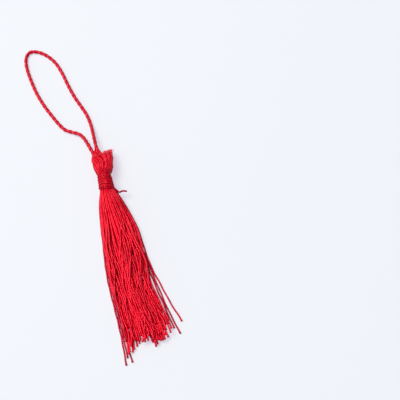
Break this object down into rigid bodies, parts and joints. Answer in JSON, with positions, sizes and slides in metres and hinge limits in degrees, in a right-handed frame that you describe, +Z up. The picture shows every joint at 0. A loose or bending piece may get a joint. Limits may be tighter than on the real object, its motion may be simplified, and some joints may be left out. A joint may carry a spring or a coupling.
{
  "type": "tassel",
  "caption": "Small silky yarn tassel with a bound neck, a head of folded yarn, a skirt of cut ends and a twisted cord loop to hang it by.",
  "frame": {"origin": "on the surface that the tassel lies on, under the middle of its head, neck and skirt", "axes": "+Y from the cut ends towards the head, +X across the skirt, +Z up from the surface"},
  "size_m": [0.0342, 0.1355, 0.007],
  "materials": {
    "yarn": "twisted rayon yarn, bright red, silky sheen",
    "thread": "fine rayon thread in close turns, bright red, satin sheen",
    "cord": "two-ply twisted rayon cord, bright red, silky sheen"
  },
  "bodies": {
    "root": {"tassel_body": "yarn", "neck_binding": "thread", "hanging_loop": "cord"}
  },
  "joints": []
}
